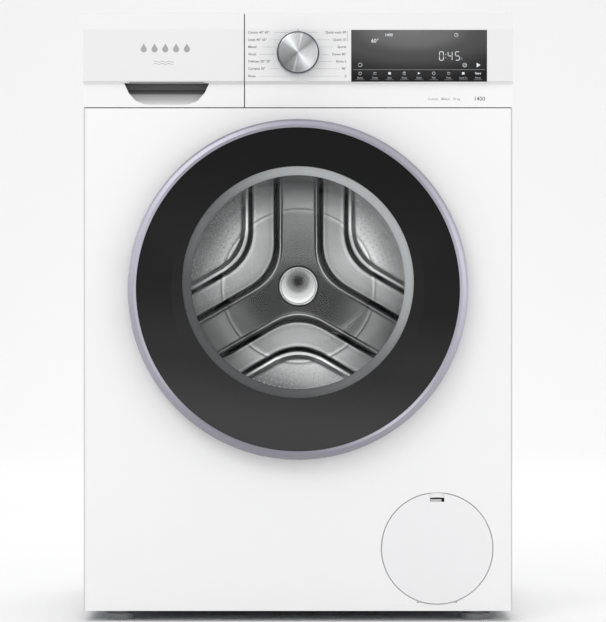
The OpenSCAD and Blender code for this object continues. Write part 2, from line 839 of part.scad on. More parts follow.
base_frame();
left_side_panel();
right_side_panel();
rear_panel();
rear_cover();
front_panel();
top_crossbars();
worktop_board();
control_panel();
display_window();
control_module();
dispenser_housing();
inlet_valve();
valve_hoses();
fill_hose();
door_gasket();
door_lock();
hinge_bracket();
pump_housing();
pump_motor();
sump_hose();
drain_hose();
mains_inlet();
damper_tubes();
transport_caps();
tub_springs();
door_ring();
door_cover();
door_frame();
glass_bowl();
hinge_leaf();
latch_hook();
drawer_front();
drawer_tray();
softener_siphon();
program_dial();
service_flap();
pump_filter();
pump_impeller();
tub_front();
tub_rear();
front_weight();
top_weight();
heater();
motor_housing();
damper_rods();
bearings();
drive_belt();
drum_shell();
drum_rear();
drum_lifters();
hub_cap();
drum_spider();
drum_pulley();
motor_rotor();
foot_front_left();
foot_front_right();
foot_rear_left();
foot_rear_right();
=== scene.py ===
import json
import math

import bmesh
import bpy
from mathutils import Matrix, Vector


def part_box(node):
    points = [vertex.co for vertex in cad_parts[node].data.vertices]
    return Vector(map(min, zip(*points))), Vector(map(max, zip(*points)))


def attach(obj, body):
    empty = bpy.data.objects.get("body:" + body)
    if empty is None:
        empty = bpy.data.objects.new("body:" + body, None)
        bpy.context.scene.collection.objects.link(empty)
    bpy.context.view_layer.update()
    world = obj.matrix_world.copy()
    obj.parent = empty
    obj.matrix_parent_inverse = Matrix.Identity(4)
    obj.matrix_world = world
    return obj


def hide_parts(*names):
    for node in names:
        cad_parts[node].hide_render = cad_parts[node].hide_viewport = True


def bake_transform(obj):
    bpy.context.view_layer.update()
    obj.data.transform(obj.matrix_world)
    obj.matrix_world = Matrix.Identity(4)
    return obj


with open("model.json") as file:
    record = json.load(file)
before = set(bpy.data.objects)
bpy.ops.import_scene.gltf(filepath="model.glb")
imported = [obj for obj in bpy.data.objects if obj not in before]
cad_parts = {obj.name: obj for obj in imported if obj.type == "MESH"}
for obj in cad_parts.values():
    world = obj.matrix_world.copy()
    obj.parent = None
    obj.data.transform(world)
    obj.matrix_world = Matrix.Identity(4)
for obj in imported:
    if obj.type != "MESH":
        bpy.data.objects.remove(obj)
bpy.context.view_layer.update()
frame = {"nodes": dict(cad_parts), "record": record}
NODES = frame["nodes"]
MM = 0.001
# places on the part, in millimetres
FRONT = -274.0         # front sheet
FACE = -284.0          # face of the control panel
MARK = 0.08            # height of a printed mark
DRUM_Z = 470.0         # axis of the drum
DOOR_Z = 462.0         # centre of the door ring
WIN_Z = 472.0          # centre of the window
DIAL_Z = 790.3         # centre of the dial
DIAL_R = 29.5          # radius of the dial
FLAP = (194.0, 101.0)  # centre of the service flap, x and z
SHELL_R = 245.2        # inside of the drum shell
REAR_Y = 188.6         # flat of the drum's rear wall
scene = bpy.context.scene


# ---------------------------------------------------------------- materials
def mat(name, color, rough=0.4, metal=0.0, var=0.02, rvar=0.05, scale=40.0, bump=0.0,
        bump_scale=600.0, bump_dist=0.0002, stretch=(1, 1, 1), sockets=None):
    """A principled material with colour, roughness and bump from object-space noise.

    var and rvar are how far the colour and the roughness wander."""
    m = bpy.data.materials.new(name)
    m.use_nodes = True
    nt = m.node_tree
    bsdf = nt.nodes["Principled BSDF"]
    bsdf.inputs["Metallic"].default_value = metal
    for k, v in (sockets or {}).items():
        bsdf.inputs[k].default_value = v
    tc = nt.nodes.new("ShaderNodeTexCoord")
    mp = nt.nodes.new("ShaderNodeMapping")
    mp.inputs["Scale"].default_value = stretch
    nt.links.new(tc.outputs["Object"], mp.inputs["Vector"])
    n1 = nt.nodes.new("ShaderNodeTexNoise")
    n1.inputs["Scale"].default_value = scale
    n1.inputs["Detail"].default_value = 4.0
    nt.links.new(mp.outputs["Vector"], n1.inputs["Vector"])
    ramp = nt.nodes.new("ShaderNodeValToRGB")
    lo = [max(0.0, c * (1 - var)) for c in color[:3]] + [1]
    hi = [min(1.0, c * (1 + var)) for c in color[:3]] + [1]
    ramp.color_ramp.elements[0].position = 0.35
    ramp.color_ramp.elements[1].position = 0.65
    ramp.color_ramp.elements[0].color = lo
    ramp.color_ramp.elements[1].color = hi
    nt.links.new(n1.outputs["Fac"], ramp.inputs["Fac"])
    nt.links.new(ramp.outputs["Color"], bsdf.inputs["Base Color"])
    mr = nt.nodes.new("ShaderNodeMapRange")
    mr.inputs["From Min"].default_value = 0.3
    mr.inputs["From Max"].default_value = 0.7
    mr.inputs["To Min"].default_value = max(0.02, rough - rvar)
    mr.inputs["To Max"].default_value = min(1.0, rough + rvar)
    nt.links.new(n1.outputs["Fac"], mr.inputs["Value"])
    nt.links.new(mr.outputs["Result"], bsdf.inputs["Roughness"])
    if bump:
        n2 = nt.nodes.new("ShaderNodeTexNoise")
        n2.inputs["Scale"].default_value = bump_scale
        n2.inputs["Detail"].default_value = 3.0
        nt.links.new(mp.outputs["Vector"], n2.inputs["Vector"])
        b = nt.nodes.new("ShaderNodeBump")
        b.inputs["Strength"].default_value = bump
        b.inputs["Distance"].default_value = bump_dist
        nt.links.new(n2.outputs["Fac"], b.inputs["Height"])
        nt.links.new(b.outputs["Normal"], bsdf.inputs["Normal"])
    return m


def glass_mat(name, tint, gloss_rough=0.02):
    """Thin clear glass: light passes straight through, with more gloss at a slant."""
    m = bpy.data.materials.new(name)
    m.use_nodes = True
    nt = m.node_tree
    nt.nodes.remove(nt.nodes["Principled BSDF"])
    out = nt.nodes["Material Output"]
    tr = nt.nodes.new("ShaderNodeBsdfTransparent")
    tr.inputs["Color"].default_value = (*tint, 1)
    gl = nt.nodes.new("ShaderNodeBsdfGlossy")
    gl.inputs["Roughness"].default_value = gloss_rough
    lw = nt.nodes.new("ShaderNodeLayerWeight")
    lw.inputs["Blend"].default_value = 0.5
    power = nt.nodes.new("ShaderNodeMath")
    power.operation = "POWER"
    power.inputs[1].default_value = 5.0
    nt.links.new(lw.outputs["Facing"], power.inputs[0])
    gain = nt.nodes.new("ShaderNodeMath")
    gain.operation = "MULTIPLY_ADD"
    gain.inputs[1].default_value = 0.25
    gain.inputs[2].default_value = 0.012
    nt.links.new(power.outputs["Value"], gain.inputs[0])
    mix = nt.nodes.new("ShaderNodeMixShader")
    nt.links.new(gain.outputs["Value"], mix.inputs["Fac"])
    nt.links.new(tr.outputs["BSDF"], mix.inputs[1])
    nt.links.new(gl.outputs["BSDF"], mix.inputs[2])
    nt.links.new(mix.outputs["Shader"], out.inputs["Surface"])
    return m


def grey(v, tint=(1, 1, 1)):
    """Linear colour of a screen grey from 0 to 255."""
    c = v / 255
    lin = ((c + 0.055) / 1.055) ** 2.4 if c > 0.04045 else c / 12.92
    return [lin * t for t in tint] + [1]


def shade(m, weights, stops, angle=False, around=None):
    """Colours a material by place across its own box, by angle or by distance."""
    nt = m.node_tree
    bsdf = nt.nodes["Principled BSDF"]
    tc = nt.nodes.new("ShaderNodeTexCoord")
    if angle:
        sep = nt.nodes.new("ShaderNodeSeparateXYZ")
        mv = nt.nodes.new("ShaderNodeVectorMath")
        mv.operation = "SUBTRACT"
        mv.inputs[1].default_value = (0.5, 0.5, 0.5)
        nt.links.new(tc.outputs["Generated"], mv.inputs[0])
        nt.links.new(mv.outputs["Vector"], sep.inputs["Vector"])
        at = nt.nodes.new("ShaderNodeMath")
        at.operation = "ARCTAN2"
        nt.links.new(sep.outputs["Z"], at.inputs[0])
        nt.links.new(sep.outputs["X"], at.inputs[1])
        turn = nt.nodes.new("ShaderNodeMath")
        turn.operation = "MULTIPLY_ADD"
        turn.inputs[1].default_value = 0.5 / math.pi
        turn.inputs[2].default_value = 1.0
        nt.links.new(at.outputs["Value"], turn.inputs[0])
        value = nt.nodes.new("ShaderNodeMath")
        value.operation = "FRACT"
        nt.links.new(turn.outputs["Value"], value.inputs[0])
    elif around:
        flat = nt.nodes.new("ShaderNodeVectorMath")
        flat.operation = "MULTIPLY"
        flat.inputs[1].default_value = (1, 0, 1)
        nt.links.new(tc.outputs["Generated"], flat.inputs[0])
        value = nt.nodes.new("ShaderNodeVectorMath")
        value.operation = "DISTANCE"
        value.inputs[1].default_value = around
        nt.links.new(flat.outputs["Vector"], value.inputs[0])
    else:
        value = nt.nodes.new("ShaderNodeVectorMath")
        value.operation = "DOT_PRODUCT"
        value.inputs[1].default_value = weights
        nt.links.new(tc.outputs["Generated"], value.inputs[0])
    ramp = nt.nodes.new("ShaderNodeValToRGB")
    ramp.color_ramp.interpolation = "LINEAR" if angle else "EASE"
    ramp.color_ramp.elements.remove(ramp.color_ramp.elements[1])
    ramp.color_ramp.elements[0].position = stops[0][0]
    ramp.color_ramp.elements[0].color = stops[0][1]
    for at_pos, c in stops[1:]:
        ramp.color_ramp.elements.new(at_pos).color = c
    nt.links.new(value.outputs["Value"], ramp.inputs["Fac"])
    nt.links.new(ramp.outputs["Color"], bsdf.inputs["Base Color"])
    return m


WHITE = (0.83, 0.83, 0.835)
M = {
    "white_enamel": mat("white_enamel", WHITE, 0.3, var=0.001, rvar=0.01, scale=6, bump=0.02,
                        bump_scale=900, bump_dist=0.00005),
    "white_plastic": mat("white_plastic", (0.80, 0.80, 0.81), 0.36, var=0.004, rvar=0.03, scale=14,
                         bump=0.08, bump_scale=1600, bump_dist=0.00003),
    "white_board": mat("white_board", (0.80, 0.80, 0.79), 0.45, var=0.01, rvar=0.05, scale=30,
                       bump=0.12, bump_scale=1100, bump_dist=0.00008),
    "galvanised": mat("galvanised", (0.55, 0.57, 0.6), 0.4, 0.9, var=0.12, rvar=0.12, scale=55),
    "rear_grey": mat("rear_grey", (0.62, 0.63, 0.64), 0.5, 0.3, var=0.03, rvar=0.08, scale=30,
                     bump=0.1),
    "inner_plastic": mat("inner_plastic", (0.5, 0.51, 0.52), 0.55, var=0.03, rvar=0.06, bump=0.15),
    "display_black": mat("display_black", (0.035, 0.035, 0.04), 0.12, var=0.05, rvar=0.03, scale=20,
                         sockets={"Specular IOR Level": 0.08}),
    "door_black": mat("door_black", (0.012, 0.012, 0.014), 0.09, var=0.05, rvar=0.03, scale=18,
                      sockets={"Specular IOR Level": 0.08}),
    "ring_silver": mat("ring_silver", (0.52, 0.51, 0.59), 0.32, 0.6, rvar=0.01, scale=120),
    "grey_rubber": mat("grey_rubber", (0.16, 0.17, 0.18), 0.6, var=0.06, rvar=0.1, bump=0.3,
                       bump_scale=700),
    "black_rubber": mat("black_rubber", (0.02, 0.02, 0.02), 0.65, var=0.1, rvar=0.1, bump=0.3),
    "dark_plastic": mat("dark_plastic", (0.035, 0.035, 0.04), 0.5, var=0.08, rvar=0.08, bump=0.25,
                        bump_scale=1200),
    "stainless": mat("stainless", (0.82, 0.82, 0.83), 0.22, 1.0, var=0.05, rvar=0.07, scale=20,
                     bump=0.08, bump_scale=260, bump_dist=0.0001, stretch=(1, 6, 1)),
    "chrome": mat("chrome", (0.78, 0.78, 0.8), 0.08, 1.0, var=0.02, rvar=0.03),
    "cast_aluminium": mat("cast_aluminium", (0.6, 0.61, 0.63), 0.5, 0.9, var=0.08, rvar=0.1,
                          bump=0.5, bump_scale=350),
    "concrete": mat("concrete", (0.36, 0.36, 0.35), 0.9, var=0.2, rvar=0.05, scale=90, bump=0.8,
                    bump_scale=260, bump_dist=0.001),
    "steel": mat("steel", (0.6, 0.6, 0.62), 0.3, 1.0, var=0.05, rvar=0.08, scale=80, bump=0.1),
    "blue_plastic": mat("blue_plastic", (0.12, 0.3, 0.62), 0.35, var=0.04, rvar=0.05),
    "motor_grey": mat("motor_grey", (0.12, 0.13, 0.14), 0.6, 0.5, var=0.1, rvar=0.1, bump=0.4),
    "dial_metal": mat("dial_metal", (0.72, 0.73, 0.78), 0.24, 1.0, var=0.03, rvar=0.05, scale=200,
                      sockets={"Anisotropic": 0.8}),
    "dial_rim": mat("dial_rim", (0.3, 0.32, 0.39), 0.3, 0.6, var=0.05, rvar=0.05, scale=90),
    "dial_edge": mat("dial_edge", (0.045, 0.05, 0.065), 0.35, 0.3, var=0.1, rvar=0.05, scale=90),
    "marks": mat("marks", (0.13, 0.13, 0.14), 0.6, var=0.1, rvar=0.05),
    "marks_soft": mat("marks_soft", (0.36, 0.36, 0.37), 0.6, var=0.05, rvar=0.05),
    "lit": mat("lit", (0.75, 0.77, 0.8), 0.5, var=0.02, rvar=0.05),
    "lit_soft": mat("lit_soft", (0.3, 0.31, 0.33), 0.5, var=0.02, rvar=0.05),
    "hole": mat("hole", (0.8, 0.8, 0.81), 0.3, 0.9, var=0.1, rvar=0.05),
    "pressed_steel": mat("pressed_steel", (0.66, 0.66, 0.67), 0.2, 1.0, rvar=0.04, scale=14),
}
# the pressed steel's colour is painted light and shade, read from a point attribute of the rear
# wall
nt = M["pressed_steel"].node_tree
attr = nt.nodes.new("ShaderNodeAttribute")
attr.attribute_name = "painted_steel_shading"
nt.links.new(attr.outputs["Fac"], nt.nodes["Principled BSDF"].inputs["Base Color"])
M["bowl_glass"] = glass_mat("bowl_glass", (0.985, 0.99, 0.99))
M["bowl_rim"] = mat("bowl_rim", (0.19, 0.215, 0.225), 0.2, var=0.08, rvar=0.04, scale=16,
                    sockets={"Specular IOR Level": 0.15})
TEAL = (0.96, 1.0, 1.02)
LILAC = (1, 0.98, 1.14)
# painted light and shade: the window rim darker at the lower left, lighter at the upper right
shade(M["bowl_rim"], (0.5, 0, 0.5), [(0.2, grey(88, TEAL)), (0.45, grey(114, TEAL)),
                                     (0.8, grey(184, TEAL))])
# painted reflection: the display glass lightest near the middle of its top edge, darker away from
# it
shade(M["display_black"], None, [(0.0, grey(112)), (0.22, grey(104)), (0.5, grey(74)),
                                 (0.85, grey(42)), (1.1, grey(26))], around=(0.45, 0, 1.0))
# painted reflection: the black door cover lighter towards the bottom, darkest at the top
shade(M["door_black"], (0.1, 0, 0.9), [(0.1, grey(62)), (0.3, grey(44)), (0.5, grey(31)),
                                       (0.9, grey(14))])
# painted shade: the door ring darker at the bottom, lightest a little above its middle
shade(M["ring_silver"], (0.12, 0, 0.88), [(0.0, grey(136, LILAC)), (0.3, grey(162, LILAC)),
                                          (0.55, grey(188, LILAC)), (0.85, grey(156, LILAC))])


def white(name, front, back):
    """White moulding with painted light and shade: recessed faces lighter or greyer by depth."""
    m = mat(name, (0.8, 0.8, 0.81), 0.36, rvar=0.02, scale=14, bump=0.06, bump_scale=1600,
            bump_dist=0.00003)
    return shade(m, (0, 1, 0), [(0.0, grey(front))] + [(p, grey(v)) for p, v in back])


# painted light and shade: the panel's recessed faces painted lighter; the drawer's grip painted
# darker deeper in, with painted shadow under the lip
M["panel_white"] = white("panel_white", 224, ((0.015, 226), (0.05, 229), (0.36, 229), (0.46, 235),
                                              (1.0, 235)))
M["drawer_white"] = white("drawer_white", 224, ((0.012, 226), (0.04, 229), (0.28, 229), (0.35, 235),
                                                (0.372, 232), (0.42, 210), (0.6, 184), (0.74, 166),
                                                (0.8, 92), (1.0, 62)))
# painted shade: the front sheet darker in a thin strip at its left and right edges
M["front_white"] = shade(mat("front_white", WHITE, 0.3, rvar=0.01, scale=6, bump=0.02,
                             bump_scale=900, bump_dist=0.00005), (1, 0, 0),
                             [(0.0, grey(170)), (0.0024, grey(236)), (0.997, grey(235)),
                              (1.0, grey(160))])
M["foot_grey"] = mat("foot_grey", (0.3, 0.3, 0.31), 0.5, var=0.05, bump=0.1)
M["ring_gap_shade"] = mat("ring_gap_shade", (0.1, 0.1, 0.105), 0.5, var=0.05)
# painted reflection: the hub dish darkest at a spot above its middle, lighter towards its edge
M["hub_painted_reflection"] = shade(mat("hub_painted_reflection", (0.6, 0.6, 0.6), 0.2, 1.0, rvar=0.02), None,
                        [(0.0, grey(18)), (0.08, grey(34)), (0.24, grey(118)), (0.42, grey(190)),
                         (0.62, grey(228))], around=(0.49, 0, 0.64))
M["catch_grey"] = mat("catch_grey", (0.5, 0.5, 0.5), 0.4, var=0.04)
M["hub_edge"] = mat("hub_edge", (0.95, 0.95, 0.95), 0.15, 1.0, rvar=0.02)
OWN = {"drawer_front": "drawer_white", "control_panel": "panel_white", "front_panel": "front_white",
       "foot_front_left": "foot_grey", "foot_front_right": "foot_grey",
       "foot_rear_left": "foot_grey", "foot_rear_right": "foot_grey"}
# painted highlights and shade on the dial's turned face round its centre: degrees and screen grey
PAINTED_DIAL_SHEEN = ((0, 205), (20, 195), (40, 140), (60, 168), (72, 168), (78, 212), (84, 184), (100, 198),
             (125, 250), (150, 165), (180, 148), (220, 118), (235, 142), (250, 152), (258, 200),
             (264, 165), (285, 190), (310, 250), (335, 218), (360, 205))
shade(M["dial_metal"], None, [(a / 360, grey(0.9 * v, (0.97, 1.0, 1.02))) for a, v in PAINTED_DIAL_SHEEN],
      angle=True)
# spun rings on the dial: the grain runs round its own centre
nt = M["dial_metal"].node_tree
tan = nt.nodes.new("ShaderNodeTangent")
tan.direction_type = "RADIAL"
tan.axis = "Y"
nt.links.new(tan.outputs["Tangent"], nt.nodes["Principled BSDF"].inputs["Tangent"])

for sp in frame["record"]["subparts"]:
    obj = NODES[sp["node"]]
    m = M[OWN.get(sp["node"], sp["material_slot"])]
    if not obj.material_slots:
        obj.data.materials.append(m)
    for s in obj.material_slots:
        s.material = m


# ---------------------------------------------------------------- mesh helpers
def piece(name, verts, faces, material, body, slot=None, smooth=True, origin=(0, 0, 0)):
    """A new mesh object, given in millimetres, riding on a body."""
    me = bpy.data.meshes.new(name)
    o = Vector(origin)
    me.from_pydata([((Vector(v) - o) * MM)[:] for v in verts], [], faces)
    me.validate()
    bm = bmesh.new()
    bm.from_mesh(me)
    bmesh.ops.recalc_face_normals(bm, faces=bm.faces)
    bm.to_mesh(me)
    bm.free()
    for p in me.polygons:
        p.use_smooth = smooth
    ob = bpy.data.objects.new(name, me)
    ob.location = o * MM
    scene.collection.objects.link(ob)
    me.materials.append(M[material] if isinstance(material, str) else material)
    bpy.context.view_layer.update()
    if body:
        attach(ob, body)
    return ob


def sharpen(ob, angle=35):
    """Smooth shading with creases kept sharp."""
    bm = bmesh.new()
    bm.from_mesh(ob.data)
    lim = math.radians(angle)
    for e in bm.edges:
        if len(e.link_faces) == 2 and e.calc_face_angle(0) > lim:
            e.smooth = False
    bm.to_mesh(ob.data)
    bm.free()
    return ob


def loft(rings, closed_ring=True, close_loop=False, caps=False):
    """Faces between equal-length rings of points."""
    n = len(rings[0])
    verts = [p for r in rings for p in r]
    faces = []
    last = len(rings) if close_loop else len(rings) - 1
    for i in range(last):
        a, b = i * n, ((i + 1) % len(rings)) * n
        for j in range(n if closed_ring else n - 1):
            k = (j + 1) % n
            faces.append((a + j, a + k, b + k, b + j))
    if caps:
        faces.append(tuple(range(n)))
        faces.append(tuple(range((len(rings) - 1) * n, len(rings) * n)))
    return verts, faces


def lathe(profile, cx, cz, seg=160, closed=True):
    """Turns [radius, y] points about the Y axis at cx, cz."""
    rings = []
    for r, y in profile:
        rings.append([(cx + r * math.cos(2 * math.pi * j / seg), y,
                       cz + r * math.sin(2 * math.pi * j / seg))
                      for j in range(seg)])
    return loft(rings, close_loop=closed)


def add_mesh(store, verts, faces):
    """Adds a mesh to a store, which is a pair of lists of points and faces."""
    base = len(store[0])
    store[0].extend(verts)
    store[1].extend([tuple(i + base for i in f) for f in faces])


def plate(store, pts, y0, y1):
    """A thin flat shape with outline pts (x, z), from y1 (front) back to y0."""
    n = len(pts)
    v = [(x, y1, z) for x, z in pts] + [(x, y0, z) for x, z in pts]
    f = [tuple(range(n)), tuple(range(2 * n - 1, n - 1, -1))]
    f += [(i, (i + 1) % n, n + (i + 1) % n, n + i) for i in range(n)]
    add_mesh(store, v, f)


def bar(store, x0, x1, z0, z1, y):
    """A thin flat rectangle standing out from the plane y."""
    plate(store, [(x0, z0), (x1, z0), (x1, z1), (x0, z1)], y, y - MARK)


def ring_mark(store, x, z, r, w, y, a0=0.0, a1=360.0, seg=28):
    """A thin ring or arc of outer radius r and width w, standing out from the plane y."""
    turns = [math.radians(a0 + (a1 - a0) * i / seg) for i in range(seg + 1)]
    outer, inner = [[(x + q * math.cos(a), z + q * math.sin(a)) for a in turns] for q in (r, r - w)]
    for i in range(seg):
        plate(store, [outer[i], outer[i + 1], inner[i + 1], inner[i]], y, y - MARK)


def words(store, text, x, z, size, y, align="LEFT"):
    """Generic words and numbers as flat raised shapes, x and z in millimetres."""
    cu = bpy.data.curves.new("t", "FONT")
    cu.body = text
    cu.size = size
    cu.align_x = align
    cu.align_y = "CENTER"
    cu.resolution_u = 3
    cu.extrude = 0.04
    cu.offset = 0.07
    ob = bpy.data.objects.new("t", cu)
    scene.collection.objects.link(ob)
    bpy.context.view_layer.update()
    me = bpy.data.meshes.new_from_object(ob.evaluated_get(bpy.context.evaluated_depsgraph_get()))
    v = [(x + p.co.x, y - 0.04 - p.co.z, z + p.co.y) for p in me.vertices]
    add_mesh(store, v, [tuple(p.vertices) for p in me.polygons])
    bpy.data.objects.remove(ob)
    bpy.data.meshes.remove(me)
    bpy.data.curves.remove(cu)


def round_edges(node, width=0.8, segments=3, angle=40):
    """Softens a CAD node's sharp edges."""
    b = NODES[node].modifiers.new("edges", "BEVEL")
    b.width = width * MM
    b.segments = segments
    b.limit_method = "ANGLE"
    b.angle_limit = math.radians(angle)
    b.harden_normals = False


for node, w in (("control_panel", 1.2), ("drawer_front", 1.2), ("worktop_board", 1.5),
                ("service_flap", 0.5)):
    round_edges(node, w)

# ---------------------------------------------------------------- panel marks
rows = (819.4, 809.2, 799.3, 789.0, 779.1, 769.0, 758.6)
LABEL_SIZE, LABEL_LEFT, LABEL_RIGHT = 4.7, -69.3, 67.3
dark, soft = ([], []), ([], [])
left = ("Cotton 40° 60°", "Linen 40° 60°", "Mixed", "Wool", "Delicate 20° 30°", "Curtains 30°",
        "Rinse")
right = ("Quick wash 30'", "Quick 15'", "Sports", "Down 40°", "Shirts 2", "90°", "0")
for text, z in zip(left, rows):
    words(dark, text, LABEL_LEFT, z, LABEL_SIZE, FACE)
for text, z in zip(right, rows):
    words(dark, text, LABEL_RIGHT, z, LABEL_SIZE, FACE, "RIGHT")
# leader lines: row, from x, to x
lines = ((0, -33, -15.2), (1, -36, -25.9), (2, -50.2, -30.9), (3, -54, -32.9), (5, -37.6, -25.4),
         (6, -53, -14.5), (0, 14.1, 28), (1, 24.3, 43.5), (2, 30.9, 49), (3, 32.1, 43),
         (4, 29.6, 47), (5, 24.3, 57.9), (6, 14.1, 58.8))
for i, x0, x1 in lines:
    bar(soft, x0, x1, rows[i] - 0.2, rows[i] + 0.2, FACE)
# bracket joining the first two rows on the right
bar(dark, 68.6, 69.0, rows[1] - 1.5, rows[0] + 1.5, FACE)
bar(dark, 67.8, 69.0, rows[0] + 1.1, rows[0] + 1.5, FACE)
bar(dark, 67.8, 69.0, rows[1] - 1.5, rows[1] - 1.1, FACE)
# pointer over the dial
for s in (-1, 1):
    plate(soft, [(0, 823.6), (0, 824.6), (s * 2.2, 820.9), (s * 1.6, 820.7)], FACE, FACE - MARK)
bar(soft, -2.0, 2.0, 820.7, 821.1, FACE)
# generic words, load and spin speed at the lower right
words(soft, "Cotton   Mixed   10 kg", 226, 727.4, 4.8, FRONT, "RIGHT")
words(dark, "1400", 261, 727.6, 8.0, FRONT, "RIGHT")
piece("dial_labels", *dark, "marks", "cabinet", "display_black", smooth=False)
piece("dial_lines", *soft, "marks_soft", "cabinet", "display_black", smooth=False)

# five plain drops over two wavy lines on the drawer front
DROP_R, DROP_Z, DROP_TIP = 4.2, 795.9, 804.0
WAVE_X, WAVE_Z, WAVE_LONG, WAVE_GAP, WAVE_HIGH, WAVE_THICK = -200, 778.3, 27, 3.0, 0.8, 0.7
drop = ([], [])
for cx in (-214.5, -199.5, -184.5, -169.5, -154.5):
    pts = []
    for i in range(24):
        a = math.radians(140 + 260 * i / 23)
        pts.append((cx + DROP_R * math.cos(a), DROP_Z + DROP_R * math.sin(a)))
    pts.append((cx, DROP_TIP))
    plate(drop, pts, FACE, FACE - MARK)
for k in (0, 1):
    for i in range(24):
        x0, x1 = WAVE_X + WAVE_LONG * i / 24, WAVE_X + WAVE_LONG * (i + 1) / 24
        z0 = WAVE_Z - WAVE_GAP * k + WAVE_HIGH * math.sin(i * math.pi / 4)
        z1 = WAVE_Z - WAVE_GAP * k + WAVE_HIGH * math.sin((i + 1) * math.pi / 4)
        plate(drop, [(x0, z0), (x1, z1), (x1, z1 + WAVE_THICK), (x0, z0 + WAVE_THICK)], FACE,
              FACE - MARK)
piece("drawer_emblem", *drop, "marks_soft", "drawer", "display_black", smooth=False)

# dark strip behind the seam between drawer and panel: painted shadow in the gap
seal = ([], [])
side = [(-270.5, 719.5), (-270.5, 746), (-281.5, 752.5), (-281.5, 823), (-274.5, 845), (-265, 845),
        (-265, 719.5)]
v = [(x, y, z) for x in (-75.1, -73.9) for y, z in side]
n = len(side)
faces = [tuple(range(n)), tuple(range(2 * n - 1, n - 1, -1))]
faces += [(i, (i + 1) % n, n + (i + 1) % n, n + i) for i in range(n)]
add_mesh(seal, v, faces)
piece("drawer_seam_shadow", *seal, "dark_plastic", "cabinet", "dark_plastic", smooth=False)

# lip round the service flap's opening, and the flap's catch behind its slot
verts, faces = lathe([(77.1, -271.0), (79.6, -271.2), (79.6, -270.4), (77.1, -270.4)], FLAP[0],
                     FLAP[1], 160)
piece("flap_lip", verts, faces, "white_plastic", "cabinet", "white_plastic")
catch = ([], [])
plate(catch, [(184.3, 164.5), (200.2, 164.5), (200.2, 169.6), (184.3, 169.6)], -269.9, -271.3)
piece("flap_catch", *catch, "catch_grey", "flap", "white_plastic", smooth=False)

# ---------------------------------------------------------------- display
DY = FACE - 0.1
ICON_Z, FIELD_X, FIELD_STEP = 762.5, 86.4, 20.5
FIELDS = ("Stains", "Temp", "Spin", "Rinse", "Extra", "Plus", "Time", "Lock 3 s", "Pause")
lit, dim = ([], []), ([], [])
SEGMENTS = {"0": "abcdef", "4": "bcfg", "5": "acdfg"}
for x, digit in ((196.4, "0"), (208.4, "4"), (218.6, "5")):
    w, z0, z1, t = 6.4, 780.4, 793.0, 0.9
    zm = (z0 + z1) / 2
    spots = {"a": (x + 1, x + w - 1, z1 - t, z1), "d": (x + 1, x + w - 1, z0, z0 + t),
             "g": (x + 1, x + w - 1, zm - t / 2, zm + t / 2),
             "b": (x + w - t, x + w, zm + 0.8, z1 - 0.8),
             "c": (x + w - t, x + w, z0 + 0.8, zm - 0.8), "e": (x, x + t, z0 + 0.8, zm - 0.8),
             "f": (x, x + t, zm + 0.8, z1 - 0.8)}
    for name in SEGMENTS[digit]:
        bar(lit, *spots[name], DY)
for z in (784.2, 788.8):
    bar(lit, 205.2, 206.1, z - 0.45, z + 0.45, DY)
words(lit, "1400", 126.3, 815.8, 5.6, DY, "CENTER")
words(lit, "60°", 107.0, 807.6, 7.5, DY, "CENTER")
words(dim, "h", 226.5, 783.0, 4.5, DY, "LEFT")
ring_mark(lit, 220.2, 815.8, 2.6, 0.5, DY)
bar(lit, 220.0, 220.4, 815.8, 817.6, DY)
bar(lit, 220.2, 221.6, 815.6, 816.0, DY)
ring_mark(lit, 86.5, 774.3, 2.8, 0.5, DY, 200, 520)
ring_mark(lit, 232.0, 774.0, 3.0, 0.5, DY)
ring_mark(lit, 232.0, 774.0, 1.6, 0.4, DY)
plate(lit, [(248.6, 777.2), (248.6, 771.0), (253.8, 774.1)], DY, DY - MARK)
bar(dim, 77.0, 260.2, 767.4, 767.8, DY)
for i, label in enumerate(FIELDS):
    x = FIELD_X + i * FIELD_STEP
    bar(dim, x - 6.0, x + 6.0, 753.6, 753.9, DY)
    words(dim, label, x, 756.4, 3.3, DY, "CENTER")
    if i == len(FIELDS) - 1:
        words(lit, "Start", x, ICON_Z, 4.2, DY, "CENTER")
        continue
    kind = i % 5
    if kind == 0:
        ring_mark(lit, x, ICON_Z, 2.1, 0.4, DY)
    elif kind == 1:
        for s in (-1, 1):
            bar(lit, x - 2.2, x + 2.2, ICON_Z + s * 1.1 - 0.2, ICON_Z + s * 1.1 + 0.2, DY)
    elif kind == 2:
        plate(lit, [(x - 2.0, 761.0), (x + 2.0, 761.0), (x + 1.5, 764.2), (x - 1.5, 764.2)], DY,
              DY - MARK)
    elif kind == 3:
        ring_mark(lit, x, ICON_Z, 2.1, 0.4, DY, 20, 340)
        bar(lit, x - 0.2, x + 0.2, 762.4, 765.0, DY)
    else:
        plate(lit, [(x - 1.6, 760.9), (x - 1.6, 764.3), (x + 1.8, 762.6)], DY, DY - MARK)
piece("display_figures", *lit, "lit", "cabinet", "display_black", smooth=False)
piece("display_fields", *dim, "lit_soft", "cabinet", "display_black", smooth=False)

# ---------------------------------------------------------------- dial
verts, faces = lathe([(0.01, -306.0), (10, -306.0), (26.0, -305.9), (27.4, -305.6), (27.9, -305.0)],
                     0, DIAL_Z, 120, False)
piece("dial_face", verts, faces, "dial_metal", "dial", "dial_metal", origin=(0, -300, DIAL_Z))
verts, faces = lathe([(28.2, -303.0), (29.3, -302.4), (DIAL_R, -299), (DIAL_R, -286.6),
                      (29.0, -285.6), (26.0, -285.6), (26.0, -300.0)], 0, DIAL_Z, 120)
sharpen(piece("dial_skirt", verts, faces, "dial_rim", "dial", "dial_metal"))
verts, faces = lathe([(27.7, -305.2), (28.4, -305.0), (29.2, -304.0), (29.35, -302.6),
                      (27.7, -302.6)], 0, DIAL_Z, 120)
sharpen(piece("dial_edge", verts, faces, "dial_edge", "dial", "dial_metal"))
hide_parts("program_dial")

# ---------------------------------------------------------------- glass bowl
BOWL_SEG = 160
